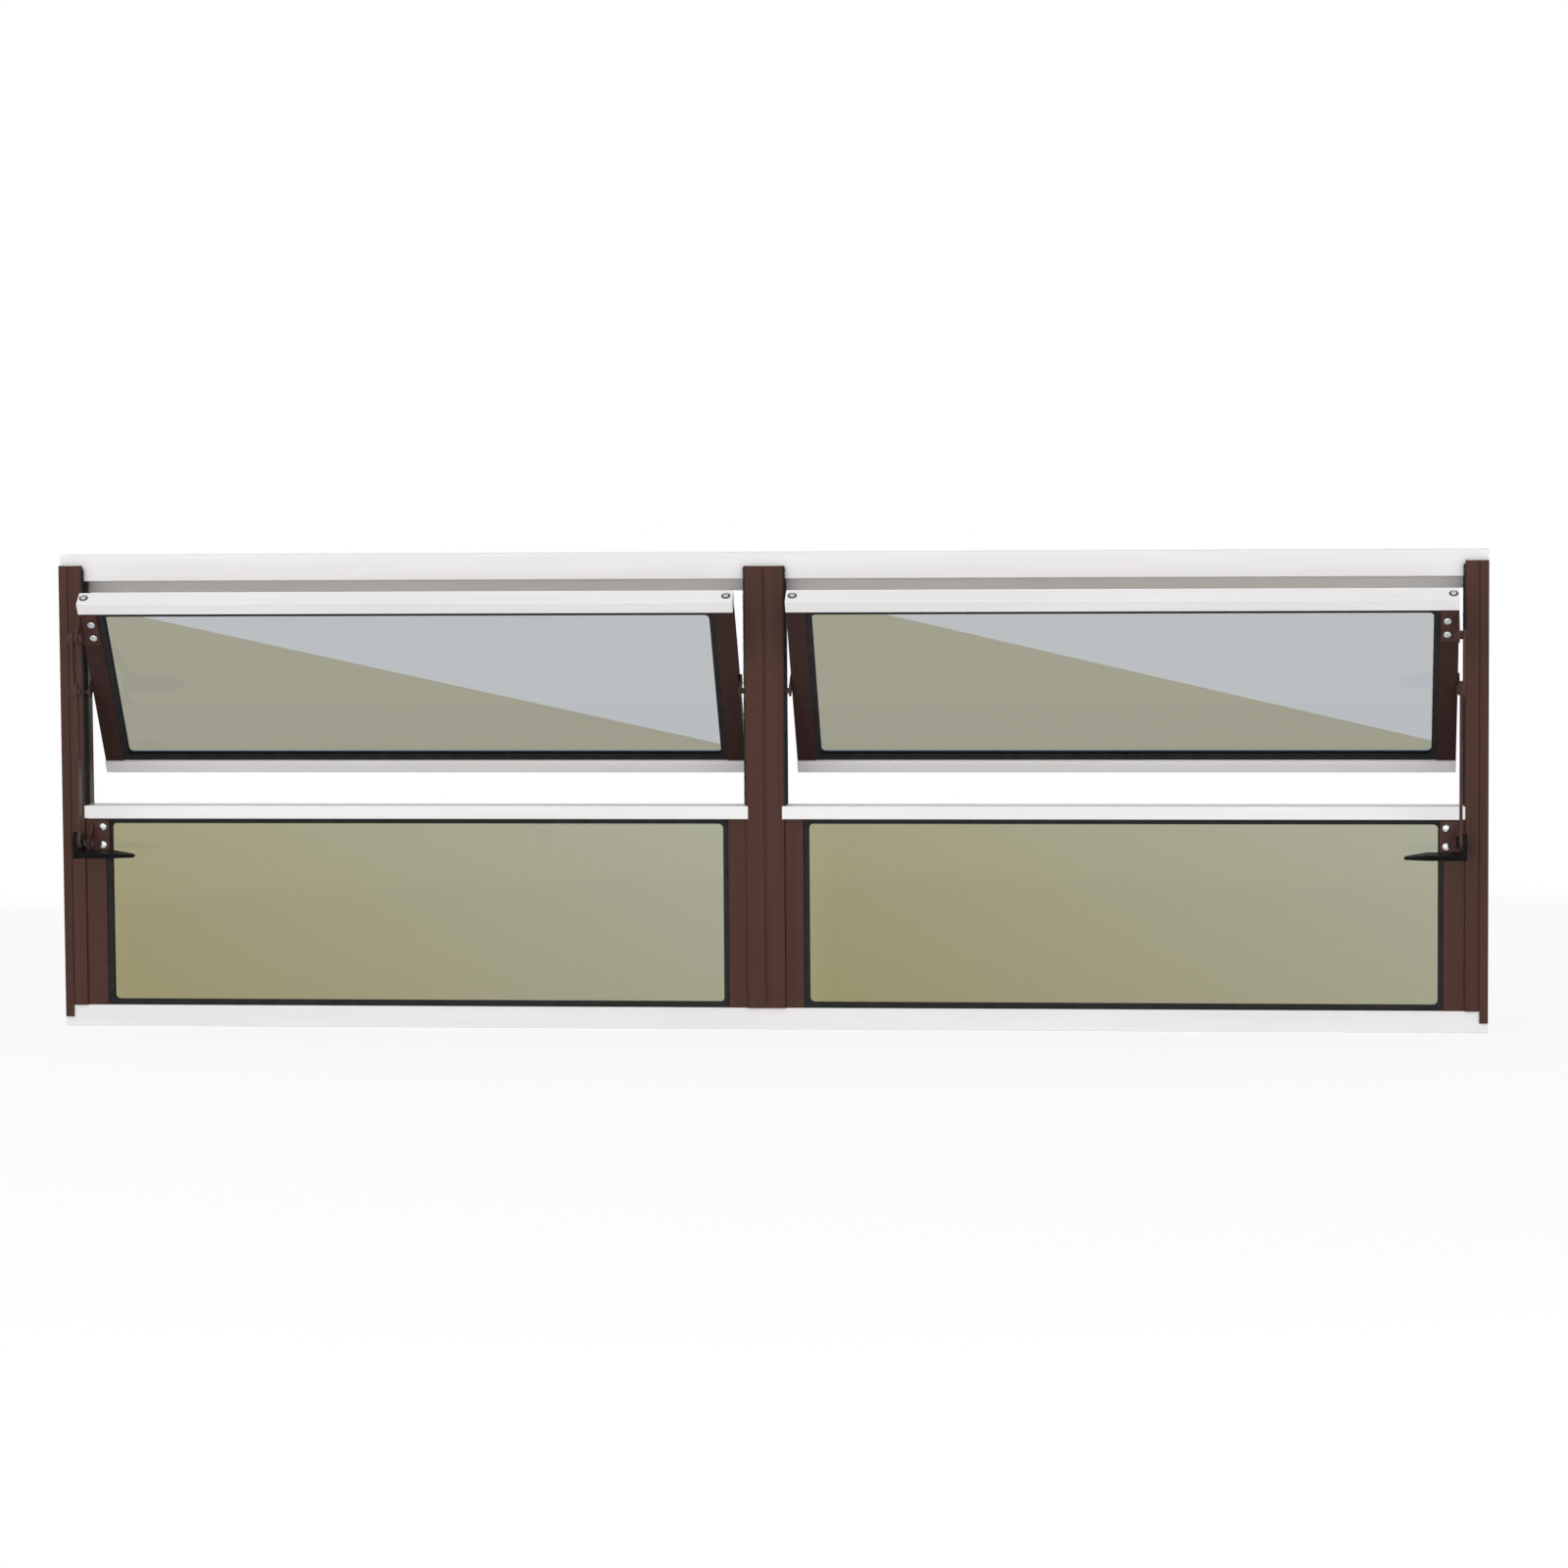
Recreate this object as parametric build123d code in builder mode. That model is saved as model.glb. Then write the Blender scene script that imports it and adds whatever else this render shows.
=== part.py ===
"""Pivot window: two tilting sashes over two fixed panes in an aluminium frame.

Millimetres. X runs along the window, -Y faces the room, +Z is up. The origin is on the sill's
underside, midway along it. The sashes are modelled part open, top towards the room.
"""
import os
from math import cos, radians, sin

from build123d import *

os.makedirs("parts", exist_ok=True)

# Outer frame
frame_width = 1500.0
frame_height = 500.0
frame_depth = 45.0
wall = 1.6
front_wall = 3.0
head_height = 27.5
head_setback = 8.0
stop_lip_drop = 13.0
stop_lip_thickness = 4.0
stop_groove = 1.0
stop_groove_drops = (2.0, 5.5)
edge_radius = 0.7
sill_height = 22.5
sill_setback = 2.0
jamb_width = 24.0
jamb_rise = 16.5
jamb_lip_width = 9.0
jamb_lip_drop = 12.5
mullion_width = 40.0
mullion_rise = 13.5
mullion_groove_width = 3.0
jamb_groove_width = 1.6
groove_depth = 1.2

# Transoms and the fixed panes under them
fixed_pane_height = 199.0
transom_height = 13.5
transom_depth = 34.5
transom_lip = 2.0
transom_lip_lap = 2.0
transom_lip_short = 4.5
fixed_outer_stile_width = 22.0
fixed_inner_stile_width = 19.5
fixed_stile_depth = 26.0
fixed_stile_setback = 3.0

# Glass and gaskets
glass_thickness = 4.0
glass_bite = 3.5
gasket_width = 5.5
gasket_depth = 12.0
gasket_setback = 2.0
gasket_corner = 5.0

# Sashes
seal_thickness = 2.5
seal_depth = 20.0
moving_gap = 5.0
sash_height = 224.0
sash_depth = 20.0
sash_rail_height = 14.0
sash_stile_width = 20.0
sash_stile_depth = 14.0
sash_wall = 1.5
opening_angle = 34.0

# Sash pivots
pivot_inset = 7.0
pivot_forward = 14.0
pivot_pin_radius = 3.0
pivot_lug_thickness = 2.0
pivot_lug_radius = 6.0
pivot_pin_reach = 3.0
seal_hole_clearance = 1.0

# Levers, rods and their brackets
bracket_thickness = 2.0
bracket_flange_width = 18.5
bracket_nose_radius = 8.0
rod_bracket_height = 38.0
rod_bracket_from_rail = 2.0
rod_pin_forward = 16.0
rod_pin_up = 82.0
lever_bracket_height = 34.0
lever_bracket_from_transom = 2.0
lever_pivot_forward = 14.5
lever_pivot_below_transom = 25.5
lever_arm = 30.0
lever_arm_angle = 12.0
lever_thickness = 4.5
lever_boss_radius = 8.5
grip_length = 64.0
grip_width = 18.0
grip_thickness = 5.5
grip_tip_width = 8.0
grip_tip_thickness = 2.6
grip_taper_length = 24.0
grip_droop = 1.6
grip_edge_radius = 0.9
grip_forward = 28.0
grip_below = 9.0
grip_tilt = 8.0
bar_thickness = 3.0
bar_width = 12.0
bar_overlap = 18.0
bar_joint_from_top = 56.0
bar_eye_radius = 8.0
bolt_radius = 3.0
bolt_head_radius = 5.0
bolt_head_height = 3.0
joint_bolt_radius = 2.5
collar_radius = 4.5
lever_pin_radius = 2.5
lever_pin_head_radius = 6.2
lever_pin_play = 2.5
running_clearance = 0.05
side_clearance = 0.3

sides = {"left": -1, "right": 1}

# Places that follow from the sizes
front_y = -frame_depth / 2
back_y = frame_depth / 2
head_y = front_y + head_setback
sill_y = front_y + sill_setback
head_z = frame_height - head_height
transom_z = sill_height + fixed_pane_height
opening_z = transom_z + transom_height
jamb_x = frame_width / 2 - jamb_width
mullion_x = mullion_width / 2

# Sash in its closed place, from which it turns about the pivot
sash_outer_x = jamb_x - seal_thickness - moving_gap
sash_inner_x = mullion_x + seal_thickness + moving_gap
sash_width = sash_outer_x - sash_inner_x
sash_half = sash_height / 2
pivot_y = front_y + pivot_inset
pivot_z = head_z - moving_gap - sash_half
rail_front = pivot_forward - sash_depth / 2
stile_front = pivot_forward - sash_stile_depth / 2
stop_lip_y = pivot_y + pivot_forward + sash_depth / 2 + moving_gap

tilt = radians(opening_angle)
up_way = Vector(0, -sin(tilt), cos(tilt))
back_way = Vector(0, cos(tilt), sin(tilt))
pivot = Vector(0, pivot_y, pivot_z)

# Linkage layers, counted outwards from the sash
bracket_in = sash_outer_x - bracket_thickness
lower_bar_in = sash_outer_x + side_clearance
upper_bar_in = lower_bar_in + bar_thickness
upper_bar_out = upper_bar_in + bar_thickness
lever_in = upper_bar_in + side_clearance
lever_out = lever_in + lever_thickness

# Linkage pins in the part-open place
rod_pin = pivot + up_way * rod_pin_up - back_way * rod_pin_forward
lever_pivot = Vector(0, front_y - lever_pivot_forward, transom_z - lever_pivot_below_transom)
arm_angle = radians(lever_arm_angle)
lever_pin = lever_pivot + Vector(0, -lever_arm * cos(arm_angle), lever_arm * sin(arm_angle))
rod_way = (rod_pin - lever_pin).normalized()
rod_length = (rod_pin - lever_pin).length
bar_joint = rod_length - bar_joint_from_top


def frame_section(x):
    """Plane across the window at x: local X is towards the outside, local Y is up."""
    return Plane.YZ.offset(x)


def sash_section(x):
    """The same plane turned with the sash, with its origin on the pivot axis."""
    return Plane(origin=pivot + Vector(x, 0, 0), x_dir=back_way, z_dir=(1, 0, 0))


def sash_cross(up):
    """Plane across a sash stile at a height over the pivot: local Y is towards the outside."""
    return Plane(origin=pivot + up_way * up, x_dir=(1, 0, 0), z_dir=up_way)


def sash_face(back):
    """Plane parallel to the sash glass, a distance behind the pivot, facing the room."""
    return Plane(origin=pivot + back_way * back, x_dir=(1, 0, 0), z_dir=back_way * -1)


def fixed_face(y):
    """Plane parallel to the fixed glass, facing the room, with its origin at floor height."""
    return Plane(origin=(0, y, 0), x_dir=(1, 0, 0), z_dir=(0, -1, 0))


def rod_section(x):
    """Plane across the window with its origin on the lever pin and local X up along the rod."""
    return Plane(origin=lever_pin + Vector(x, 0, 0), x_dir=rod_way, z_dir=(1, 0, 0))


def span(side, inner, outer):
    """Low and high x of a stretch between two distances from the window's middle."""
    low, high = sorted((side * inner, side * outer))
    return low, high


def block(x_range, y_range, z_range, mode=Mode.ADD):
    """Box between pairs of low and high places."""
    ranges = (x_range, y_range, z_range)
    with Locations(tuple((low + high) / 2 for low, high in ranges)):
        Box(*(high - low for low, high in ranges), mode=mode)


def tube(x_range, y_range, thickness, front=None):
    """Hollow rectangle in a sketch, with a wall of its own on its low local Y side if given."""
    front = front or thickness
    width = x_range[1] - x_range[0]
    depth = y_range[1] - y_range[0]
    middle = (x_range[0] + x_range[1]) / 2
    with Locations((middle, (y_range[0] + y_range[1]) / 2)):
        RectangleRounded(width, depth, edge_radius)
    with Locations((middle, (y_range[0] + front + y_range[1] - thickness) / 2)):
        Rectangle(width - 2 * thickness, depth - front - thickness, mode=Mode.SUBTRACT)


def bracket_leg(base, low, high, nose, hole_radius):
    """Sketch of a bracket's leg from its flange to a rounded nose with a bolt hole."""
    Polygon((base, low), (base, high), (nose[0], nose[1] + bracket_nose_radius),
            (nose[0], nose[1] - bracket_nose_radius), align=None)
    with Locations(nose):
        Circle(bracket_nose_radius)
        Circle(hole_radius, mode=Mode.SUBTRACT)


def bolt_stages(section, side, centre, stages):
    """Turned or hexagonal lengths of a bolt along X: inner and outer place, radius, hexagonal or not."""
    for inner, outer, radius, hexagonal in stages:
        low, high = span(side, inner, outer)
        with BuildSketch(section(low)) as outline:
            with Locations(centre):
                if hexagonal:
                    RegularPolygon(radius, 6)
                else:
                    Circle(radius)
        extrude(outline.sketch, amount=high - low)


def save(builder, name):
    builder.part.label = name
    export_step(builder.part, f"parts/{name}.step")


# Head: a box section with a grooved stop lip behind each sash's top
with BuildPart() as head:
    with BuildSketch(frame_section(-frame_width / 2)):
        tube((head_y, back_y), (head_z, frame_height), wall)
    extrude(amount=frame_width)
    for side in sides.values():
        low, high = span(side, mullion_x, jamb_x)
        with BuildSketch(frame_section(low)):
            with Locations((stop_lip_y + stop_lip_thickness / 2, head_z - stop_lip_drop / 2)):
                Rectangle(stop_lip_thickness, stop_lip_drop)
            with Locations(*((stop_lip_y, head_z - drop) for drop in stop_groove_drops)):
                Rectangle(2 * groove_depth, stop_groove, mode=Mode.SUBTRACT)
        extrude(amount=high - low)
save(head, "head")

# Sill: a box section on which the uprights stand
with BuildPart() as sill:
    with BuildSketch(frame_section(-frame_width / 2)):
        tube((sill_y, back_y), (0, sill_height), wall)
    extrude(amount=frame_width)
save(sill, "sill")


def make_jamb(name, side):
    """Upright whose front laps over the head, and whose outer lip laps over the sill."""
    lip_bottom = sill_height - jamb_lip_drop
    jamb_top = head_z + jamb_rise
    jamb_span = span(side, jamb_x, frame_width / 2)
    lip_inner_x = frame_width / 2 - jamb_lip_width
    with BuildPart() as jamb:
        with BuildSketch(Plane.XY.offset(lip_bottom)):
            tube(jamb_span, (front_y, back_y), wall, front_wall)
            with Locations((side * (lip_inner_x - jamb_groove_width / 2), front_y)):
                Rectangle(jamb_groove_width, 2 * groove_depth, mode=Mode.SUBTRACT)
        extrude(amount=jamb_top - lip_bottom)
        block(jamb_span, (head_y, back_y), (head_z, jamb_top), Mode.SUBTRACT)
        block(span(side, jamb_x, lip_inner_x), (front_y, back_y), (lip_bottom, sill_height), Mode.SUBTRACT)
        block(jamb_span, (sill_y, back_y), (lip_bottom, sill_height), Mode.SUBTRACT)
        low, high = span(side, jamb_x, jamb_x + wall)
        with BuildSketch(frame_section(low)):
            with Locations((pivot_y, pivot_z)):
                Circle(pivot_pin_radius + running_clearance)
        extrude(amount=high - low, mode=Mode.SUBTRACT)
    save(jamb, name)


for word, side in sides.items():
    make_jamb(f"{word}_jamb", side)

# Mullion: the middle upright, with a groove down its face
with BuildPart() as mullion:
    mullion_top = head_z + mullion_rise
    with BuildSketch(Plane.XY.offset(sill_height)):
        tube((-mullion_x, mullion_x), (front_y, back_y), wall, front_wall)
        with Locations((0, front_y)):
            Rectangle(mullion_groove_width, 2 * groove_depth, mode=Mode.SUBTRACT)
    extrude(amount=mullion_top - sill_height)
    block((-mullion_x, mullion_x), (head_y, back_y), (head_z, mullion_top), Mode.SUBTRACT)
    with BuildSketch(frame_section(-mullion_x)):
        with Locations((pivot_y, pivot_z)):
            Circle(pivot_pin_radius + running_clearance)
    extrude(amount=mullion_width, mode=Mode.SUBTRACT)
save(mullion, "mullion")


def make_transom(name, side):
    """Box section between jamb and mullion, with a face lip that laps onto the mullion."""
    low, high = span(side, mullion_x, jamb_x)
    with BuildPart() as transom:
        with BuildSketch(frame_section(low)):
            tube((front_y, front_y + transom_depth), (transom_z, opening_z), wall)
        extrude(amount=high - low)
        lip_span = span(side, mullion_x - transom_lip_lap, jamb_x - transom_lip_short)
        block(lip_span, (front_y - transom_lip, front_y), (transom_z, opening_z))
    save(transom, name)


def make_seals(name, side):
    """Brush seals on the jamb and mullion sides of an upper opening."""
    seal_top = head_z + mullion_rise
    seal_spans = (span(side, jamb_x - seal_thickness, jamb_x),
                  span(side, mullion_x, mullion_x + seal_thickness))
    with BuildPart() as seals:
        for seal_span in seal_spans:
            block(seal_span, (front_y, front_y + seal_depth), (opening_z, seal_top))
            block(seal_span, (head_y, front_y + seal_depth), (head_z, seal_top), Mode.SUBTRACT)
            with BuildSketch(frame_section(seal_span[0])):
                with Locations((pivot_y, pivot_z)):
                    Circle(pivot_pin_radius + seal_hole_clearance)
            extrude(amount=seal_thickness, mode=Mode.SUBTRACT)
    save(seals, name)


# Fixed pane between its two stiles, the sill and the transom
fixed_outer_x = jamb_x - fixed_outer_stile_width
fixed_inner_x = mullion_x + fixed_inner_stile_width
fixed_stile_y = front_y + fixed_stile_setback
fixed_gasket_y = fixed_stile_y + gasket_setback


def make_fixed_stiles(name, side):
    """Box sections beside the fixed pane, against the jamb and the mullion."""
    with BuildPart() as stiles:
        with BuildSketch(Plane.XY.offset(sill_height)):
            for inner, outer in ((fixed_outer_x, jamb_x), (mullion_x, fixed_inner_x)):
                tube(span(side, inner, outer), (fixed_stile_y, fixed_stile_y + fixed_stile_depth), wall)
        extrude(amount=fixed_pane_height)
    save(stiles, name)


def glass_sheet(face, centre, width, height, mode=Mode.ADD):
    """Pane in the middle of its gasket's depth, with its edges held in the gasket."""
    edge = 2 * (glass_bite - gasket_width)
    with BuildSketch(face.offset((glass_thickness - gasket_depth) / 2)) as outline:
        with Locations(centre):
            Rectangle(width + edge, height + edge)
    extrude(outline.sketch, amount=-glass_thickness, mode=mode)


def make_pane(name, face, centre, width, height):
    """Glass and the rubber ring round it, filling an opening of the given size."""
    with BuildPart() as gasket:
        with BuildSketch(face):
            with Locations(centre):
                Rectangle(width, height)
                RectangleRounded(width - 2 * gasket_width, height - 2 * gasket_width, gasket_corner,
                                 mode=Mode.SUBTRACT)
        extrude(amount=-gasket_depth)
        glass_sheet(face, centre, width, height, Mode.SUBTRACT)
    save(gasket, f"{name}_gasket")
    with BuildPart() as glass:
        glass_sheet(face, centre, width, height)
    save(glass, f"{name}_glass")


for word, side in sides.items():
    make_transom(f"{word}_transom", side)
    make_seals(f"{word}_seals", side)
    make_fixed_stiles(f"{word}_fixed_stiles", side)
    make_pane(f"{word}_fixed", fixed_face(fixed_gasket_y),
              (side * (fixed_inner_x + fixed_outer_x) / 2, sill_height + fixed_pane_height / 2),
              fixed_outer_x - fixed_inner_x, fixed_pane_height)


def make_sash_rail(name, side, low_up):
    """Level box section over the sash's whole width, from a height over the pivot."""
    low, high = span(side, sash_inner_x, sash_outer_x)
    with BuildPart() as rail:
        with BuildSketch(sash_section(low)):
            tube((rail_front, rail_front + sash_depth), (low_up, low_up + sash_rail_height), sash_wall)
        extrude(amount=high - low)
    save(rail, name)


def make_sash_stile(name, side, inner):
    """Upright box section between the sash rails."""
    with BuildPart() as stile:
        with BuildSketch(sash_cross(sash_rail_height - sash_half)):
            tube(span(side, inner, inner + sash_stile_width), (stile_front, stile_front + sash_stile_depth),
                 sash_wall)
        extrude(amount=sash_height - 2 * sash_rail_height)
    save(stile, name)


def make_pivots(name, side):
    """Lugs on the sash's two sides, with pins that run in the jamb and the mullion."""
    lug_length = stile_front + sash_stile_depth
    ends = ((sash_outer_x, 1, jamb_x), (sash_inner_x, -1, mullion_x))
    with BuildPart() as pivots:
        for sash_x, outward, frame_x in ends:
            lug_x = sash_x + outward * pivot_lug_thickness
            pin_x = frame_x + outward * (wall + pivot_pin_reach)
            low, high = span(side, sash_x, lug_x)
            with BuildSketch(sash_section(low)):
                Circle(pivot_lug_radius)
                with Locations((lug_length / 2, 0)):
                    Rectangle(lug_length, 2 * pivot_lug_radius)
            extrude(amount=high - low)
            low, high = span(side, lug_x, pin_x)
            with BuildSketch(sash_section(low)):
                Circle(pivot_pin_radius)
            extrude(amount=high - low)
    save(pivots, name)


def make_rod_bracket(name, side):
    """Angle on the sash's outer stile whose leg carries the top of the rod."""
    high_up = sash_half - sash_rail_height - rod_bracket_from_rail
    low_up = high_up - rod_bracket_height
    with BuildPart() as bracket:
        low, high = span(side, sash_outer_x - bracket_flange_width, sash_outer_x)
        with BuildSketch(sash_section(low)):
            with Locations((stile_front - bracket_thickness / 2, (low_up + high_up) / 2)):
                Rectangle(bracket_thickness, rod_bracket_height)
        extrude(amount=high - low)
        low, high = span(side, bracket_in, sash_outer_x)
        with BuildSketch(sash_section(low)):
            bracket_leg(stile_front, low_up, high_up, (-rod_pin_forward, rod_pin_up), bolt_radius)
        extrude(amount=high - low)
    save(bracket, name)


def make_lever_bracket(name, side):
    """Angle on the fixed outer stile whose leg carries the lever."""
    high_z = transom_z - lever_bracket_from_transom
    low_z = high_z - lever_bracket_height
    with BuildPart() as bracket:
        block(span(side, sash_outer_x - bracket_flange_width, sash_outer_x),
              (fixed_stile_y - bracket_thickness, fixed_stile_y), (low_z, high_z))
        low, high = span(side, bracket_in, sash_outer_x)
        with BuildSketch(frame_section(low)):
            bracket_leg(fixed_stile_y, low_z, high_z, (lever_pivot.Y, lever_pivot.Z), bolt_radius)
        extrude(amount=high - low)
    save(bracket, name)


def make_pivot_bolt(name, side, section, centre, carried_in, carried_out):
    """Bolt with its nut inside a bracket leg, a collar, and a head outside the piece that turns on it."""
    head_in = carried_out + side_clearance
    collar_out = carried_in - side_clearance
    with BuildPart() as bolt:
        bolt_stages(section, side, centre, (
            (bracket_in - bolt_head_height, bracket_in, bolt_head_radius, True),
            (bracket_in, sash_outer_x, bolt_radius, False),
            (sash_outer_x, collar_out, collar_radius, False),
            (collar_out, head_in, bolt_radius, False),
            (head_in, head_in + bolt_head_height, bolt_head_radius, True)))
    save(bolt, name)


def make_bar(name, side, inner, start, end, start_hole, end_hole, eye=False):
    """Flat rod bar with rounded ends, between two distances up from the lever pin."""
    low, high = span(side, inner, inner + bar_thickness)
    with BuildPart() as bar:
        with BuildSketch(rod_section(low)):
            with Locations(((start + end) / 2, 0)):
                SlotCenterToCenter(end - start, bar_width)
            if eye:
                Circle(bar_eye_radius)
            for place, radius in (start_hole, end_hole):
                with Locations((place, 0)):
                    Circle(radius, mode=Mode.SUBTRACT)
        extrude(amount=high - low)
    save(bar, name)


def make_rod(word, side):
    """Two flat bars that overlap and are bolted together, from the lever pin to the sash bracket."""
    end_lap = (bar_overlap - bar_width) / 2
    joint_hole = (bar_joint, joint_bolt_radius)
    make_bar(f"{word}_rod_lower_bar", side, lower_bar_in, 0, bar_joint + end_lap,
             (0, lever_pin_radius + lever_pin_play), joint_hole, eye=True)
    make_bar(f"{word}_rod_upper_bar", side, upper_bar_in, bar_joint - end_lap, rod_length,
             joint_hole, (rod_length, bolt_radius + running_clearance))
    with BuildPart() as bolt:
        bolt_stages(rod_section, side, (bar_joint, 0), (
            (lower_bar_in - bolt_head_height, lower_bar_in, collar_radius, False),
            (lower_bar_in, upper_bar_out, joint_bolt_radius, False),
            (upper_bar_out, upper_bar_out + bolt_head_height, collar_radius, True)))
    save(bolt, f"{word}_rod_joint_bolt")


def grip_outline(root, tip, droop):
    """Sketch of a grip that narrows to a rounded tip, from its root at local X zero."""
    bend_x = grip_length - grip_taper_length
    Polygon((0, -root / 2), (0, root / 2), (bend_x, root / 2), (grip_length, tip / 2 - droop),
            (grip_length, -tip / 2 - droop), (bend_x, -root / 2), align=None)


def make_grip(start, side):
    """Hand grip along the window: a blade that tapers both ways and droops at its tip."""
    slope = radians(grip_tilt)
    rise = Vector(0, -sin(slope), cos(slope))
    forward = Vector(0, -cos(slope), -sin(slope))
    with BuildPart() as grip:
        with BuildSketch(Plane(origin=start, x_dir=(-side, 0, 0), z_dir=rise)) as plan:
            grip_outline(grip_width, grip_tip_width, 0)
            fillet(plan.vertices().group_by(Axis.X)[-1], grip_tip_width / 2 - 0.1)
        extrude(amount=grip_width, both=True)
        with BuildSketch(Plane(origin=start, x_dir=(-side, 0, 0), z_dir=forward * -side)):
            grip_outline(grip_thickness, grip_tip_thickness, grip_droop)
        extrude(amount=grip_width, both=True, mode=Mode.INTERSECT)
        fillet(grip.edges().filter_by(lambda edge: abs(edge.center().X - start.X) > 1), grip_edge_radius)
    return grip.part


def make_lever(name, side):
    """Hand lever: a leg on the lever bolt, the rod's pin, and a grip along the window."""
    grip_centre = lever_pivot + Vector(0, -grip_forward, -grip_below)
    low, high = span(side, lever_in, lever_out)
    pin_in = lower_bar_in - side_clearance
    with BuildPart() as lever:
        with BuildSketch(frame_section(low)):
            with Locations((lever_pivot.Y, lever_pivot.Z), (lever_pin.Y, lever_pin.Z)):
                Circle(lever_boss_radius)
            with Locations((grip_centre.Y, grip_centre.Z)):
                Rectangle(grip_width, grip_thickness, rotation=grip_tilt)
            make_hull()
            with Locations((lever_pivot.Y, lever_pivot.Z)):
                Circle(bolt_radius + running_clearance, mode=Mode.SUBTRACT)
        extrude(amount=high - low)
        add(make_grip(grip_centre + Vector(side * lever_out, 0, 0), side))
        bolt_stages(frame_section, side, (lever_pin.Y, lever_pin.Z), (
            (pin_in - bolt_head_height, pin_in, lever_pin_head_radius, False),
            (pin_in, lever_in, lever_pin_radius, False)))
    save(lever, name)


for word, side in sides.items():
    sash = f"{word}_sash"
    make_sash_rail(f"{sash}_top_rail", side, sash_half - sash_rail_height)
    make_sash_rail(f"{sash}_bottom_rail", side, -sash_half)
    make_sash_stile(f"{sash}_outer_stile", side, sash_outer_x - sash_stile_width)
    make_sash_stile(f"{sash}_inner_stile", side, sash_inner_x)
    make_pane(sash, sash_face(pivot_forward - gasket_depth / 2),
              (side * (sash_inner_x + sash_outer_x) / 2, 0),
              sash_width - 2 * sash_stile_width, sash_height - 2 * sash_rail_height)
    make_pivots(f"{sash}_pivots", side)
    make_rod_bracket(f"{sash}_rod_bracket", side)
    make_pivot_bolt(f"{sash}_rod_bolt", side, sash_section, (-rod_pin_forward, rod_pin_up),
                    upper_bar_in, upper_bar_out)
    make_lever_bracket(f"{word}_lever_bracket", side)
    make_pivot_bolt(f"{word}_lever_bolt", side, frame_section, (lever_pivot.Y, lever_pivot.Z),
                    lever_in, lever_out)
    make_rod(word, side)
    make_lever(f"{word}_lever", side)
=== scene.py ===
import math
import random

import bpy
from mathutils import Matrix, Vector


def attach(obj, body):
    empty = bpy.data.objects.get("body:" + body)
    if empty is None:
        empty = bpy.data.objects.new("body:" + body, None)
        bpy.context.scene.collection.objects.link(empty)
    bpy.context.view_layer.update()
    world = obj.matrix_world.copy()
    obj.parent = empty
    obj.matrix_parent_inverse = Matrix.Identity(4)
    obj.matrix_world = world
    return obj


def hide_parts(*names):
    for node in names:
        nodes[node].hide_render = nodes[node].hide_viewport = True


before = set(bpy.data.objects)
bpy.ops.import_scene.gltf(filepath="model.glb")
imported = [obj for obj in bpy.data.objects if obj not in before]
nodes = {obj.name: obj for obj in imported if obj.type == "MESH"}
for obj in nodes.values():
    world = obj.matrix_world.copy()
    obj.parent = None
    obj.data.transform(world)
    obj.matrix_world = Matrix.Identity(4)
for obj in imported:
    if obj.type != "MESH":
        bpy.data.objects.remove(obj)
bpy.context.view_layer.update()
sides = {"left": -1, "right": 1}
sashTilt = math.radians(34)  # how far the sashes lean as they stand, part open
white = (1, 1, 1, 1)
print("Loaded the window:", len(nodes), "CAD nodes")


def newFinish(name):
    finish = bpy.data.materials.new(name)
    finish.use_nodes = True
    return finish, finish.node_tree, finish.node_tree.nodes["Principled BSDF"]


def addNode(tree, kind, **inputs):
    node = tree.nodes.new(kind)
    for socket, value in inputs.items():
        node.inputs[socket].default_value = value
    return node


def objectNoise(tree, scale, stretch=(1, 1, 1), turn=(0, 0, 0), detail=4.0):
    coords = tree.nodes.new("ShaderNodeTexCoord")
    mapping = addNode(tree, "ShaderNodeMapping", Scale=stretch, Rotation=turn)
    noise = addNode(tree, "ShaderNodeTexNoise", Scale=scale, Detail=detail)
    tree.links.new(coords.outputs["Object"], mapping.inputs["Vector"])
    tree.links.new(mapping.outputs["Vector"], noise.inputs["Vector"])
    return noise.outputs["Fac"]


noiseSpan = (0.3, 0.7)  # most of a noise's values lie between these


def ramp(tree, value, colours):
    node = tree.nodes.new("ShaderNodeValToRGB")
    for element, place, colour in zip(node.color_ramp.elements, noiseSpan, colours):
        element.position = place
        element.color = (*colour, 1.0)
    tree.links.new(value, node.inputs["Fac"])
    return node.outputs["Color"]


def spread(tree, value, low, high):
    node = tree.nodes.new("ShaderNodeMapRange")
    for socket, limit in zip(("From Min", "From Max", "To Min", "To Max"), (*noiseSpan, low, high)):
        node.inputs[socket].default_value = limit
    tree.links.new(value, node.inputs["Value"])
    return node.outputs["Result"]


def bump(tree, shader, height, strength, distance):
    node = addNode(tree, "ShaderNodeBump", Strength=strength, Distance=distance)
    tree.links.new(height, node.inputs["Height"])
    tree.links.new(node.outputs["Normal"], shader.inputs["Normal"])


grainDepth = 0.0004


def grainedFinish(name, spec):
    # fine grain for gloss and bump, and a second noise, drawn out along the piece, for the colour
    finish, tree, shader = newFinish(name)
    grain = objectNoise(tree, spec["grainScale"])
    drawn = objectNoise(tree, spec["drawScale"], spec["drawStretch"], spec.get("turn", (0, 0, 0)))
    tree.links.new(ramp(tree, drawn, spec["colours"]), shader.inputs["Base Color"])
    tree.links.new(spread(tree, grain, *spec["roughness"]), shader.inputs["Roughness"])
    shader.inputs["Specular IOR Level"].default_value = spec["specular"]
    shader.inputs["Metallic"].default_value = spec.get("metallic", 0.0)
    bump(tree, shader, grain, spec["bump"], grainDepth)
    return finish


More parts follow.
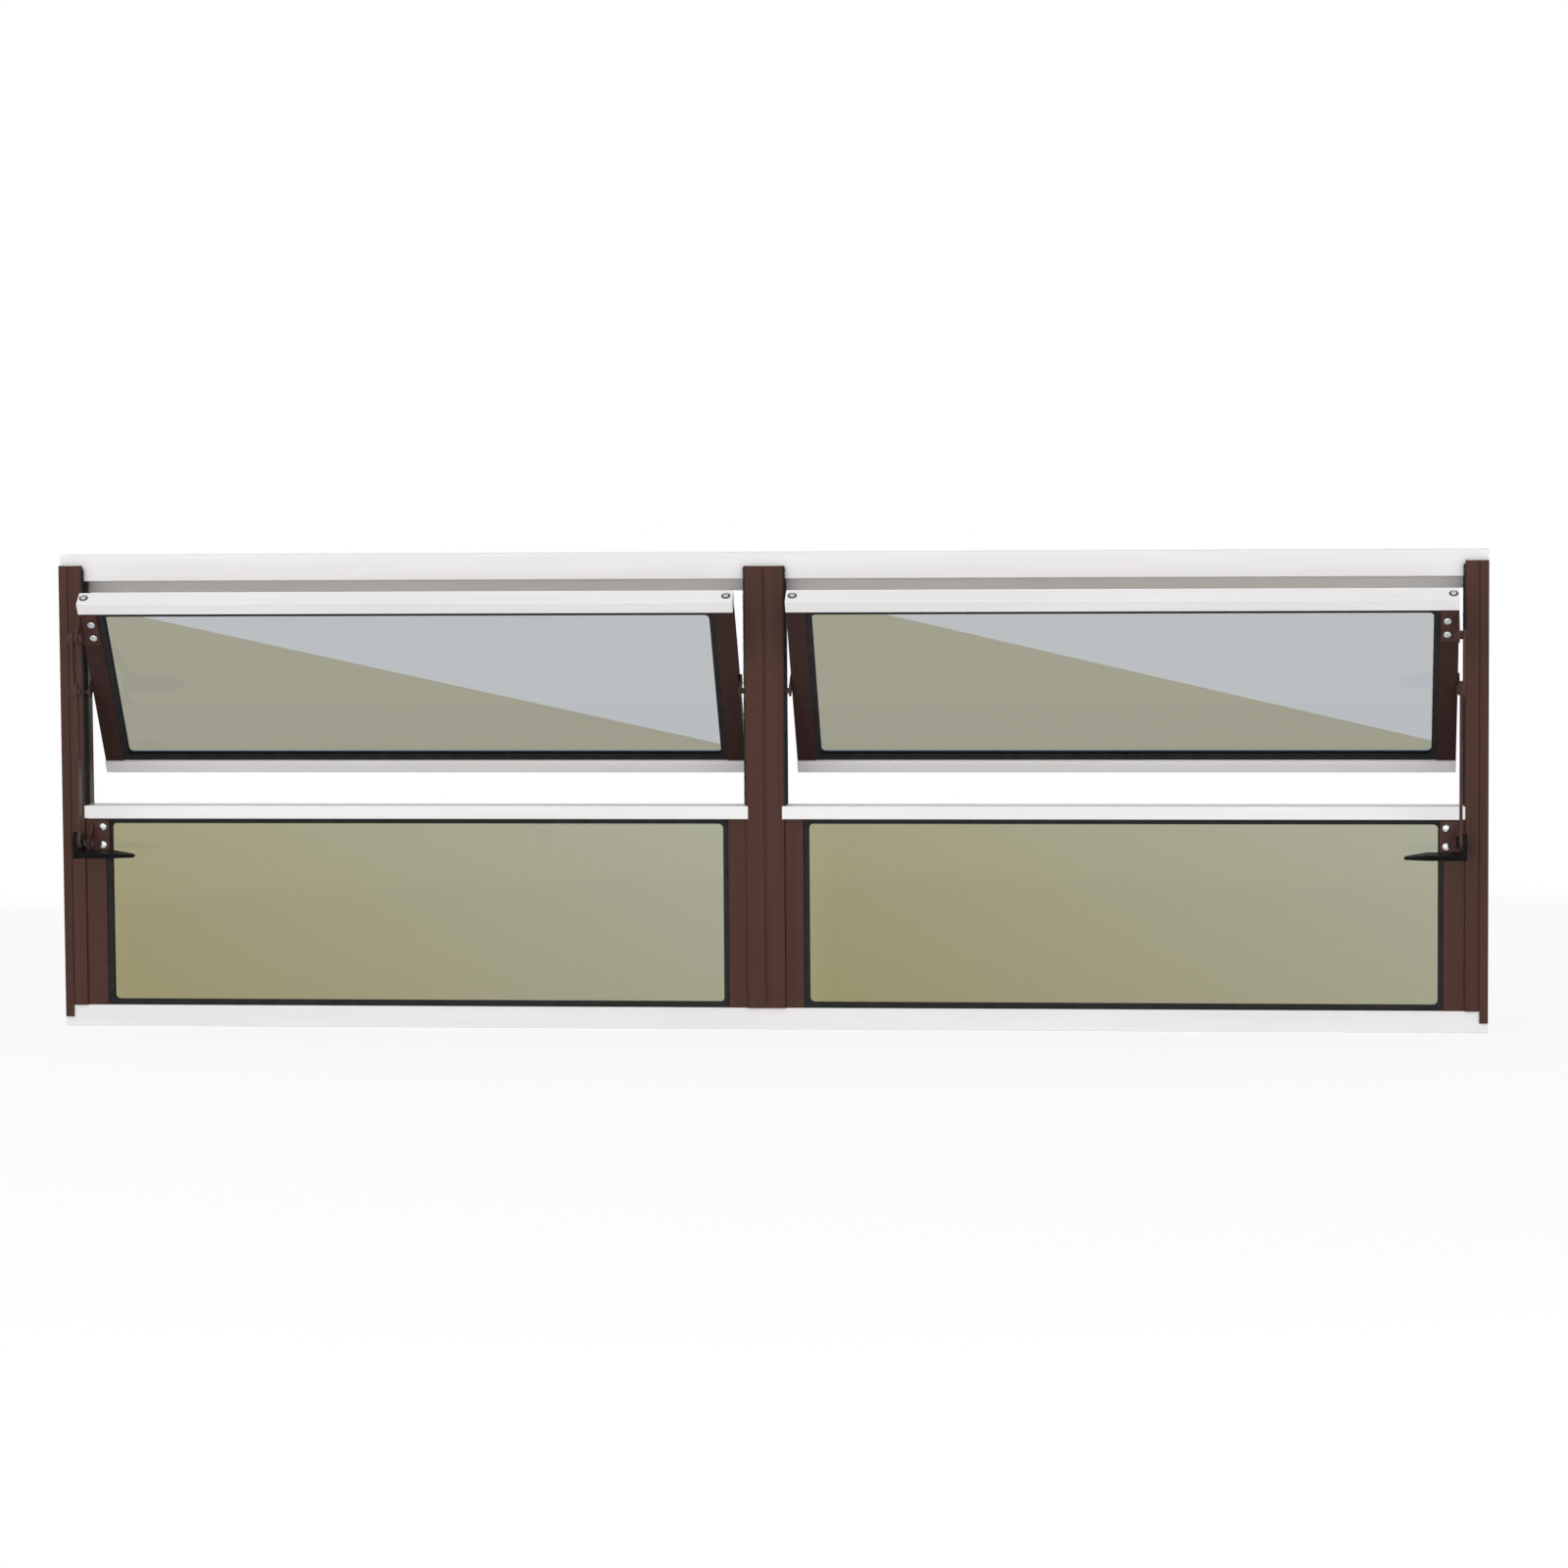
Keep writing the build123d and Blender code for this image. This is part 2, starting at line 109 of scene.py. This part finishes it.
whiteCoat = grainedFinish("whiteCoat", {
    "colours": ((0.76, 0.742, 0.742), (0.81, 0.795, 0.795)),
    "drawScale": 14, "drawStretch": (0.3, 4, 4), "grainScale": 900,
    "roughness": (0.34, 0.5), "specular": 0.4, "bump": 0.12})
brownCoat = grainedFinish("brownCoat", {
    "colours": ((0.058, 0.025, 0.018), (0.074, 0.033, 0.025)),
    "drawScale": 40, "drawStretch": (6, 6, 0.08), "grainScale": 900,
    "roughness": (0.46, 0.62), "specular": 0.12, "bump": 0.14})
brownSashCoat = grainedFinish("brownSashCoat", {
    "colours": ((0.030, 0.0135, 0.011), (0.042, 0.019, 0.016)),
    "drawScale": 40, "drawStretch": (6, 6, 0.08), "turn": (-sashTilt, 0, 0), "grainScale": 900,
    "roughness": (0.46, 0.62), "specular": 0.12, "bump": 0.14})
brownSteel = grainedFinish("brownSteel", {
    "colours": ((0.046, 0.020, 0.0165), (0.076, 0.034, 0.028)),
    "drawScale": 60, "drawStretch": (1, 1, 1), "grainScale": 1400,
    "roughness": (0.38, 0.55), "specular": 0.14, "bump": 0.2})
blackLever = grainedFinish("blackLever", {
    "colours": ((0.003, 0.003, 0.0032), (0.006, 0.006, 0.0063)),
    "drawScale": 120, "drawStretch": (1, 1, 1), "grainScale": 1600,
    "roughness": (0.22, 0.36), "specular": 0.06, "bump": 0.12})
rubberGasket = grainedFinish("rubberGasket", {
    "colours": ((0.012, 0.0122, 0.0125), (0.021, 0.0213, 0.0218)),
    "drawScale": 90, "drawStretch": (1, 1, 1), "grainScale": 1800,
    "roughness": (0.55, 0.75), "specular": 0.14, "bump": 0.3})
brushPile = grainedFinish("brushPile", {
    "colours": ((0.014, 0.0142, 0.0148), (0.05, 0.0515, 0.054)),
    "drawScale": 700, "drawStretch": (0.1, 1, 1), "grainScale": 2200,
    "roughness": (0.75, 0.95), "specular": 0.1, "bump": 0.4})
plainSteel = grainedFinish("plainSteel", {
    "colours": ((0.44, 0.45, 0.465), (0.58, 0.59, 0.605)),
    "drawScale": 300, "drawStretch": (1, 1, 1), "grainScale": 2400,
    "roughness": (0.2, 0.36), "specular": 0.5, "metallic": 1.0, "bump": 0.1})
darkRing = grainedFinish("darkRing", {
    "colours": ((0.012, 0.012, 0.016), (0.03, 0.03, 0.036)),
    "drawScale": 300, "drawStretch": (1, 1, 1), "grainScale": 2400,
    "roughness": (0.4, 0.6), "specular": 0.4, "bump": 0.1})

# The index is high, for the strong mirror image of coated glass
tintedGlassLook = {"tint": (0.365, 0.325, 0.160, 1.0), "ior": 1.9, "roughness": 0.0, "transmission": 1.0,
                   "rippleScale": 3.0, "rippleDetail": 1.0, "rippleStrength": 0.004, "rippleDepth": 0.001}


def makeTintedGlass(spec):
    finish, tree, shader = newFinish("tintedGlass")
    shader.inputs["Base Color"].default_value = spec["tint"]
    shader.inputs["Roughness"].default_value = spec["roughness"]
    shader.inputs["IOR"].default_value = spec["ior"]
    shader.inputs["Transmission Weight"].default_value = spec["transmission"]
    ripple = objectNoise(tree, spec["rippleScale"], detail=spec["rippleDetail"])
    bump(tree, shader, ripple, spec["rippleStrength"], spec["rippleDepth"])
    return finish


tintedGlass = makeTintedGlass(tintedGlassLook)

finishOfNode = {
    "head": whiteCoat, "sill": whiteCoat, "transom": whiteCoat,
    "sash_top_rail": whiteCoat, "sash_bottom_rail": whiteCoat,
    "jamb": brownCoat, "mullion": brownCoat, "fixed_stiles": brownCoat,
    "sash_outer_stile": brownSashCoat, "sash_inner_stile": brownSashCoat,
    "lever_bracket": brownSteel, "lever_bolt": brownSteel, "sash_pivots": brownSteel,
    "sash_rod_bracket": brownSteel, "sash_rod_bolt": brownSteel,
    "rod_lower_bar": brownSteel, "rod_upper_bar": brownSteel, "rod_joint_bolt": brownSteel,
    "lever": blackLever, "seals": brushPile,
    "fixed_gasket": rubberGasket, "sash_gasket": rubberGasket,
    "fixed_glass": tintedGlass, "sash_glass": tintedGlass}
# Kept out of the panes' mirror images, where they would show as yellow patches
hiddenInPanes = ("lever", "rod_lower_bar", "rod_upper_bar", "rod_joint_bolt", "sash_rod_bracket")
for name, node in nodes.items():
    plainName = name.removeprefix("left_").removeprefix("right_")
    node.data.materials.clear()
    node.data.materials.append(finishOfNode[plainName])
    node.visible_glossy = plainName not in hiddenInPanes
print("Finished the CAD nodes with", len(bpy.data.materials), "materials")


closeTo = 1e-5  # metres within which two places are the same
mergeWithin = 1e-6
facingUp = 0.99
smoothAngle = math.radians(40)


def editFaces(obj, keep):
    # enters edit mode with only the faces that keep() picks selected
    bpy.ops.object.mode_set(mode="OBJECT")
    for part in (obj.data.vertices, obj.data.edges, obj.data.polygons):
        part.foreach_set("select", [False] * len(part))
    for face in obj.data.polygons:
        face.select = keep(face)
    bpy.ops.object.mode_set(mode="EDIT")
    bpy.ops.mesh.select_mode(type="FACE")


def topFace(face):
    return face.normal.z > facingUp and face.center.xy.length < closeTo


discSides = 28


def startDisc(name, radius, height):
    bpy.ops.object.select_all(action="DESELECT")
    bpy.ops.mesh.primitive_cylinder_add(vertices=discSides, radius=radius, depth=height,
                                        location=(0, 0, height / 2))
    disc = bpy.context.object
    disc.name = name
    bpy.ops.object.transform_apply(location=True)
    return disc


def drawUp(rise):
    bpy.ops.mesh.extrude_region_move(TRANSFORM_OT_translate={"value": (0, 0, rise)})


def startDome(name, size):
    # a disc whose top face is drawn up and in, step by step: ends in edit mode, with the crown selected
    dome = startDisc(name, size["radius"], size["rim"])
    editFaces(dome, topFace)
    for riseShare, scale in size["steps"]:
        drawUp(size["dome"] * riseShare)
        bpy.ops.transform.resize(value=(scale, scale, 1))
    return dome


sortFrom = (0.0131, 0.0057, 0.0023)  # off the heads' own axes, so that no two faces are equally far


def settleOrder():
    # extrude and inset leave new faces in an order that changes from run to run
    cursor = bpy.context.scene.cursor
    bpy.ops.mesh.select_all(action="SELECT")
    cursor.location = sortFrom
    bpy.ops.mesh.sort_elements(type="CURSOR_DISTANCE", elements={"VERT", "EDGE", "FACE"})
    cursor.location = (0, 0, 0)  # new primitives without a place start there


def finishDome(dome):
    settleOrder()
    bpy.ops.object.mode_set(mode="OBJECT")
    bpy.ops.object.shade_smooth_by_angle(angle=smoothAngle)
    dome.data.materials.append(plainSteel)


rivetSize = {"radius": 0.0041, "rim": 0.0005, "dome": 0.0016,
             "steps": ((0.4, 0.93), (0.3, 0.84), (0.2, 0.72), (0.1, 0.55)),
             "dimpleInset": 0.0002, "dimpleDepth": 0.0005}


def modelRivet():
    rivet = startDome("rivetHead", rivetSize)
    bpy.ops.mesh.inset(thickness=rivetSize["dimpleInset"])
    drawUp(-rivetSize["dimpleDepth"])
    finishDome(rivet)
    return rivet


screwSize = {"radius": 0.0029, "rim": 0.0010, "dome": 0.0009,
             "steps": ((0.5, 0.88), (0.3, 0.76), (0.2, 0.6)),
             "slotLength": 0.0036, "slotWidth": 0.0011, "slotDepth": 0.0008,
             "ring": 0.0047, "ringHeight": 0.0005, "ringInset": 0.0009, "ringDish": 0.0002}


def modelScrew():
    screw = startDome("screwHead", screwSize)
    finishDome(screw)
    top = screwSize["rim"] + screwSize["dome"]
    for turn in (0, math.pi / 2):
        bpy.ops.object.select_all(action="DESELECT")
        bpy.ops.mesh.primitive_cube_add(size=1, location=(0, 0, top), rotation=(0, 0, turn))
        cutter = bpy.context.object
        cutter.scale = (screwSize["slotLength"], screwSize["slotWidth"], 2 * screwSize["slotDepth"])
        bpy.ops.object.transform_apply(location=True, rotation=True, scale=True)
        cut = screw.modifiers.new("slot", "BOOLEAN")
        cut.operation = "DIFFERENCE"
        cut.object = cutter
        bpy.context.view_layer.objects.active = screw
        bpy.ops.object.modifier_apply(modifier=cut.name)
        bpy.data.objects.remove(cutter)
    ring = startDisc("screwRing", screwSize["ring"], screwSize["ringHeight"])
    editFaces(ring, topFace)
    bpy.ops.mesh.inset(thickness=screwSize["ringInset"])
    bpy.ops.transform.translate(value=(0, 0, -screwSize["ringDish"]))
    settleOrder()
    bpy.ops.object.mode_set(mode="OBJECT")
    ring.data.materials.append(darkRing)
    bpy.ops.object.select_all(action="DESELECT")
    ring.select_set(True)
    screw.select_set(True)
    bpy.context.view_layer.objects.active = screw
    bpy.ops.object.join()
    return screw


def placeCopies(model, name, body, places):
    # one joined piece with a copy of the model at each place, facing along each direction
    copies = []
    for point, facing in places:
        copy = model.copy()
        copy.data = model.data.copy()
        bpy.context.collection.objects.link(copy)
        turn = Vector(facing).to_track_quat("Z", "X").to_matrix().to_4x4()
        copy.data.transform(Matrix.Translation(point) @ turn)
        copies.append(copy)
    bpy.ops.object.select_all(action="DESELECT")
    for copy in copies:
        copy.select_set(True)
    bpy.context.view_layer.objects.active = copies[0]
    bpy.ops.object.join()
    piece = bpy.context.object
    piece.name = name
    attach(piece, body)


brushSeal = {"thickness": 0.0025, "backing": 0.0008, "pitch": 0.00125, "tuftSides": 5, "tuftRadius": 0.00066,
             "tipRadius": 0.00022, "footShare": 0.7, "margin": 0.0005, "reach": 0.003,
             "lean": 0.00035, "seed": 7}
lean = random.Random(brushSeal["seed"])


def modelSealBacking(word, planes):
    # a copy of the CAD strips, thinned down to the woven backing
    node = nodes[f"{word}_seals"]
    backing = node.copy()
    backing.data = node.data.copy()
    bpy.context.collection.objects.link(backing)
    bpy.ops.object.select_all(action="DESELECT")
    backing.select_set(True)
    bpy.context.view_layer.objects.active = backing
    bpy.ops.object.mode_set(mode="EDIT")
    bpy.ops.mesh.select_all(action="SELECT")
    bpy.ops.mesh.remove_doubles(threshold=mergeWithin)
    bpy.ops.object.mode_set(mode="OBJECT")
    for vertex in backing.data.vertices:
        for frameX, sashX in planes:
            if abs(vertex.co.x - sashX) < closeTo:
                vertex.co.x = frameX + math.copysign(brushSeal["backing"], sashX - frameX)
    return backing


def modelPile(backing, frameX, sashX):
    # one tuft repeated in rows over the strip, kept only where the backing lies under all of it
    toSash = math.copysign(1, sashX - frameX)
    foot = frameX + toSash * brushSeal["backing"] * brushSeal["footShare"]
    strip = [v.co for v in backing.data.vertices if abs(v.co.x - frameX) < brushSeal["reach"]]
    lowY, highY = min(c.y for c in strip), max(c.y for c in strip)
    lowZ, highZ = min(c.z for c in strip), max(c.z for c in strip)
    pitch = brushSeal["pitch"]
    bpy.ops.object.select_all(action="DESELECT")
    bpy.ops.mesh.primitive_cone_add(vertices=brushSeal["tuftSides"], depth=abs(sashX - foot),
                                    radius1=brushSeal["tuftRadius"], radius2=brushSeal["tipRadius"],
                                    location=((foot + sashX) / 2, lowY + pitch / 2, lowZ + pitch / 2),
                                    rotation=(0, toSash * math.pi / 2, 0))
    pile = bpy.context.object
    bpy.ops.object.transform_apply(location=True, rotation=True)
    tuftSize = len(pile.data.vertices)
    for offset, length in (((0, pitch, 0), highY - lowY), ((0, 0, pitch), highZ - lowZ)):
        rows = pile.modifiers.new("rows", "ARRAY")
        rows.use_relative_offset = False
        rows.use_constant_offset = True
        rows.constant_offset_displace = offset
        rows.count = int(length / pitch)
        bpy.ops.object.modifier_apply(modifier=rows.name)
    points = pile.data.vertices
    clear = brushSeal["tuftRadius"] + brushSeal["margin"]
    around = ((clear, 0), (-clear, 0), (0, clear), (0, -clear))
    for part in (points, pile.data.edges, pile.data.polygons):
        part.foreach_set("select", [False] * len(part))
    for first in range(0, len(points), tuftSize):
        tuft = points[first:first + tuftSize]
        y, z = (sum(v.co[axis] for v in tuft) / tuftSize for axis in (1, 2))
        under = all(backing.ray_cast((sashX, y + dy, z + dz), (-toSash, 0, 0), distance=brushSeal["reach"])[0]
                    for dy, dz in around)
        leanY, leanZ = (lean.uniform(-1, 1) * brushSeal["lean"] for _ in range(2))
        for vertex in tuft:
            vertex.select = not under
            if abs(vertex.co.x - sashX) < closeTo:
                vertex.co.x -= toSash * abs(leanY)
                vertex.co.y += leanY
                vertex.co.z += leanZ
    bpy.ops.object.mode_set(mode="EDIT")
    bpy.ops.mesh.select_mode(type="VERT")
    bpy.ops.mesh.delete(type="VERT")
    bpy.ops.object.mode_set(mode="OBJECT")
    return pile


# Where the right seals meet the jamb and the mullion, read from the CAD node
rightSealXs = [v.co.x for v in nodes["right_seals"].data.vertices]
sealPlaces = {"jamb": max(rightSealXs), "mullion": min(rightSealXs)}


def modelSeals(word, side):
    jambX, mullionX = (side * sealPlaces[upright] for upright in ("jamb", "mullion"))
    thick = side * brushSeal["thickness"]
    planes = ((jambX, jambX - thick), (mullionX, mullionX + thick))  # each strip's frame side and sash side
    backing = modelSealBacking(word, planes)
    bpy.context.view_layer.update()
    piles = [modelPile(backing, *pair) for pair in planes]
    bpy.ops.object.select_all(action="DESELECT")
    for part in (backing, *piles):
        part.data.materials.clear()
        part.data.materials.append(brushPile)
        part.select_set(True)
    bpy.context.view_layer.objects.active = backing
    bpy.ops.object.join()
    backing.name = f"{word}BrushSeals"
    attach(backing, "frame")
    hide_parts(f"{word}_seals")


for word, side in sides.items():
    modelSeals(word, side)
print("Modelled the brush seals")

sashPivot = (-0.0155, 0.3555)


def onSash(x, back, up):
    # a place given along the leaning sash: behind its pivot, and up from it
    pivotY, pivotZ = sashPivot
    c, s = math.cos(sashTilt), math.sin(sashTilt)
    return Vector((x, pivotY - up * s + back * c, pivotZ + up * c + back * s))


sashUp = onSash(0, 0, 1) - onSash(0, 0, 0)
sashRoom = onSash(0, 0, 0) - onSash(0, 1, 0)

spots = {"bracketRivetX": 0.7065, "bracketFace": 0.005, "bracketRivetUps": (0.084, 0.067),
         "leverRivetX": 0.7065, "leverRivetY": -0.0215, "leverRivetZs": (0.2125, 0.1935),
         "railTop": 0.112, "railScrewBack": 0.0145, "railScrewXs": (0.7125, 0.0345)}
toRoom = (0, -1, 0)
rivetModel = modelRivet()
screwModel = modelScrew()
for word, side in sides.items():
    placeCopies(rivetModel, f"{word}BracketRivets", f"{word}_sash",
                [(onSash(side * spots["bracketRivetX"], spots["bracketFace"], up), sashRoom)
                 for up in spots["bracketRivetUps"]])
    placeCopies(rivetModel, f"{word}LeverRivets", "frame",
                [(Vector((side * spots["leverRivetX"], spots["leverRivetY"], z)), toRoom)
                 for z in spots["leverRivetZs"]])
    placeCopies(screwModel, f"{word}RailScrews", f"{word}_sash",
                [(onSash(side * x, spots["railScrewBack"], spots["railTop"]), sashUp)
                 for x in spots["railScrewXs"]])
for model in (rivetModel, screwModel):
    bpy.data.objects.remove(model)
print("Placed rivet and screw heads")


stageLook = {"floorColour": (0.94, 0.94, 0.94, 1), "floorRoughness": 0.9, "floorSize": 30.0,
             "floorHeight": -0.0002, "blendFrom": 0.9, "blendTo": 1.9, "whiteShare": 0.82, "ambient": 0.7}


def mathNode(tree, operation, first, second):
    node = tree.nodes.new("ShaderNodeMath")
    node.operation = operation
    for socket, value in zip(node.inputs, (first, second)):
        if isinstance(value, (int, float)):
            socket.default_value = value
        else:
            tree.links.new(value, socket)
    return node.outputs["Value"]


def seenDirectly(tree):
    # 1 for the rays that show the background: straight, mirrored or through glass
    path = tree.nodes.new("ShaderNodeLightPath")
    seen = path.outputs["Is Camera Ray"]
    for other in ("Is Glossy Ray", "Is Transmission Ray"):
        seen = mathNode(tree, "MAXIMUM", seen, path.outputs[other])
    return seen


def makeFloor():
    # pale round the window, where its shadow falls, and white further out
    bpy.ops.object.select_all(action="DESELECT")
    bpy.ops.mesh.primitive_plane_add(size=stageLook["floorSize"], location=(0, 0, stageLook["floorHeight"]))
    floor = bpy.context.object
    floor.name = "floor"
    finish, tree, shader = newFinish("paleFloor")
    shader.inputs["Base Color"].default_value = stageLook["floorColour"]
    shader.inputs["Roughness"].default_value = stageLook["floorRoughness"]
    shader.inputs["Specular IOR Level"].default_value = 0.0
    glow = addNode(tree, "ShaderNodeEmission", Strength=1.0)
    mix = tree.nodes.new("ShaderNodeMixShader")
    coords = tree.nodes.new("ShaderNodeTexCoord")
    length = tree.nodes.new("ShaderNodeVectorMath")
    length.operation = "LENGTH"
    fade = tree.nodes.new("ShaderNodeMapRange")
    fade.interpolation_type = "SMOOTHSTEP"
    fade.inputs["From Min"].default_value = stageLook["blendFrom"]
    fade.inputs["From Max"].default_value = stageLook["blendTo"]
    tree.links.new(coords.outputs["Object"], length.inputs[0])
    tree.links.new(length.outputs["Value"], fade.inputs["Value"])
    share = mathNode(tree, "MULTIPLY", seenDirectly(tree), stageLook["whiteShare"])
    tree.links.new(mathNode(tree, "MAXIMUM", share, fade.outputs["Result"]), mix.inputs["Fac"])
    tree.links.new(shader.outputs["BSDF"], mix.inputs[1])
    tree.links.new(glow.outputs["Emission"], mix.inputs[2])
    tree.links.new(mix.outputs["Shader"], tree.nodes["Material Output"].inputs["Surface"])
    floor.data.materials.append(finish)


def makeWorld():
    # a dimmer white lights the window than the one that shows behind it
    world = bpy.data.worlds.new("studio")
    bpy.context.scene.world = world
    world.use_nodes = True
    tree = world.node_tree
    dim = tree.nodes["Background"]
    dim.inputs["Color"].default_value = white
    dim.inputs["Strength"].default_value = stageLook["ambient"]
    bright = addNode(tree, "ShaderNodeBackground", Color=white, Strength=1.0)
    mix = tree.nodes.new("ShaderNodeMixShader")
    tree.links.new(seenDirectly(tree), mix.inputs["Fac"])
    tree.links.new(dim.outputs["Background"], mix.inputs[1])
    tree.links.new(bright.outputs["Background"], mix.inputs[2])
    tree.links.new(mix.outputs["Shader"], tree.nodes["World Output"].inputs["Surface"])


# Cards that only the panes mirror: a slanting edge of sky for the sashes, a soft glow for the fixed panes
ventCards = {"height": 0.2365,
             "dullColour": (0.34, 0.64, 1.3, 1), "brightColour": (1.69, 2.24, 3.8, 1),
             "depth": (-0.15, 0.036), "fadeLength": 0.35,
             "left": {"inner": -0.03, "outer": -1.15, "edge": ((-0.6936, -0.1255), (-0.0561, 0.0202))},
             "right": {"inner": 0.0, "outer": 1.1, "edge": ((0.1138, -0.1273), (0.7007, 0.0173))}}
floorCards = {"height": 0.0006, "colour": (0.72, 1.12, 1.65, 1), "cells": 12,
              "acrossShare": 0.82, "awayShare": 0.42, "border": 0.12,
              "left": ((-0.745, -0.19), (-0.06, -0.21), (-1.34, -2.67), (-0.335, -2.69)),
              "right": ((0.031, -0.2), (0.71, -0.22), (-0.213, -2.73), (0.782, -2.74))}


def glowFinish(name, colour):
    finish, tree, shader = newFinish(name)
    tree.nodes.remove(shader)
    glow = addNode(tree, "ShaderNodeEmission", Color=colour, Strength=1.0)
    clear = tree.nodes.new("ShaderNodeBsdfTransparent")
    path = tree.nodes.new("ShaderNodeLightPath")
    mix = tree.nodes.new("ShaderNodeMixShader")
    # sharp mirror rays meet it, those from satin paint don't
    tree.links.new(path.outputs["Is Singular Ray"], mix.inputs["Fac"])
    tree.links.new(clear.outputs["BSDF"], mix.inputs[1])
    tree.links.new(glow.outputs["Emission"], mix.inputs[2])
    tree.links.new(mix.outputs["Shader"], tree.nodes["Material Output"].inputs["Surface"])
    return finish, tree, glow, mix


def fadeBy(tree, mix, fade):
    shown = mix.inputs["Fac"].links[0].from_socket
    tree.links.new(mathNode(tree, "MULTIPLY", shown, fade), mix.inputs["Fac"])


def splitPlace(tree, coordinates):
    coords = tree.nodes.new("ShaderNodeTexCoord")
    split = tree.nodes.new("ShaderNodeSeparateXYZ")
    tree.links.new(coords.outputs[coordinates], split.inputs["Vector"])
    return split.outputs


def glossyOnly(card):
    for ray in ("camera", "diffuse", "transmission", "volume_scatter", "shadow"):
        setattr(card, f"visible_{ray}", False)


def makeVentCard(word):
    # a card over the vent, cut along a slanting line into a dull and a bright half
    spec = ventCards[word]
    y0, y1 = ventCards["depth"]
    x0, x1 = sorted((spec["inner"], spec["outer"]))
    (ax, ay), (bx, by) = spec["edge"]
    bpy.ops.object.select_all(action="DESELECT")
    bpy.ops.mesh.primitive_plane_add(size=1, location=((x0 + x1) / 2, (y0 + y1) / 2, ventCards["height"]))
    card = bpy.context.object
    card.name = f"{word}VentCard"
    card.scale = (x1 - x0, y1 - y0, 1)
    bpy.ops.object.transform_apply(location=True, rotation=True, scale=True)
    across = (by - ay, ax - bx, 0)
    bpy.ops.object.mode_set(mode="EDIT")
    bpy.ops.mesh.select_all(action="SELECT")
    bpy.ops.mesh.bisect(plane_co=(ax, ay, ventCards["height"]), plane_no=across)
    bpy.ops.object.mode_set(mode="OBJECT")
    for half in ("dull", "bright"):
        finish, tree, _, mix = glowFinish(f"{word}{half.title()}Sky", ventCards[f"{half}Colour"])
        along = mathNode(tree, "ABSOLUTE", splitPlace(tree, "Object")["X"], 0.0)
        toEnd = mathNode(tree, "SUBTRACT", abs(spec["outer"]), along)
        fade = mathNode(tree, "MINIMUM", mathNode(tree, "DIVIDE", toEnd, ventCards["fadeLength"]), 1.0)
        fadeBy(tree, mix, fade)  # out past the jamb
        card.data.materials.append(finish)
    for face in card.data.polygons:
        side = (face.center.x - ax) * across[0] + (face.center.y - ay) * across[1]
        face.material_index = 1 if side > 0 else 0
    glossyOnly(card)


def makeFloorCard(word):
    # a card on the floor that brightens away from the window and to the right, with soft edges
    near0, near1, far0, far1 = (Vector((*corner, floorCards["height"])) for corner in floorCards[word])
    cells, border = floorCards["cells"], floorCards["border"]
    bpy.ops.object.select_all(action="DESELECT")
    bpy.ops.mesh.primitive_grid_add(x_subdivisions=cells, y_subdivisions=cells, size=1)
    card = bpy.context.object
    card.name = f"{word}FloorCard"
    for vertex in card.data.vertices:  # from -0.5 to 0.5 on the new grid
        u, v = ((place + 0.5) * (1 + 2 * border) - border for place in vertex.co.xy)
        vertex.co = near0.lerp(near1, u).lerp(far0.lerp(far1, u), v)
    finish, tree, glow, mix = glowFinish(f"{word}FloorSky", floorCards["colour"])
    places = splitPlace(tree, "UV")
    strength = 0.0
    for axis, share in (("X", floorCards["acrossShare"]), ("Y", floorCards["awayShare"])):
        place = places[axis]
        strength = mathNode(tree, "ADD", mathNode(tree, "MULTIPLY", place, share), strength)
        toEdge = mathNode(tree, "MINIMUM", place, mathNode(tree, "SUBTRACT", 1.0, place))
        fade = mathNode(tree, "MINIMUM", mathNode(tree, "MULTIPLY", toEdge, 1 / border), 1.0)
        fadeBy(tree, mix, fade)
    tree.links.new(strength, glow.inputs["Strength"])
    card.data.materials.append(finish)
    glossyOnly(card)


lamps = {
    "key": {"place": (-2.0, -3.0, 2.8), "width": 3.0, "height": 3.0, "watts": 38},
    "fill": {"place": (2.6, -2.8, 1.8), "width": 3.0, "height": 3.0, "watts": 19},
    "front": {"place": (0.0, -5.6, 0.457), "width": 3.9, "height": 1.1, "watts": 58}}
lampAim = Vector((0, 0, 0.25))


def makeLamp(name, spec):
    data = bpy.data.lights.new(name, "AREA")
    data.shape = "RECTANGLE"
    data.size, data.size_y = spec["width"], spec["height"]
    data.energy = spec["watts"]
    lamp = bpy.data.objects.new(name, data)
    lamp.location = spec["place"]
    lamp.rotation_euler = (lampAim - lamp.location).to_track_quat("-Z", "Y").to_euler()
    bpy.context.collection.objects.link(lamp)


# Turned in degrees from looking straight down: 4.18 below the level, rolled 0.41, 5.87 to the left
cameraStand = {"place": (0.5604, -5.2513, 0.6424), "turn": (90 - 4.18, 0.41, 5.87), "lens": 115.78}


def makeCamera():
    data = bpy.data.cameras.new("photoCamera")
    data.lens = cameraStand["lens"]
    camera = bpy.data.objects.new("photoCamera", data)
    camera.location = cameraStand["place"]
    camera.rotation_euler = [math.radians(angle) for angle in cameraStand["turn"]]
    bpy.context.collection.objects.link(camera)
    bpy.context.scene.camera = camera


makeFloor()
makeWorld()
for word in sides:
    makeVentCard(word)
    makeFloorCard(word)
for name, spec in lamps.items():
    makeLamp(name, spec)
makeCamera()
bpy.context.scene.view_settings.view_transform = "Standard"
print("Set the stage")
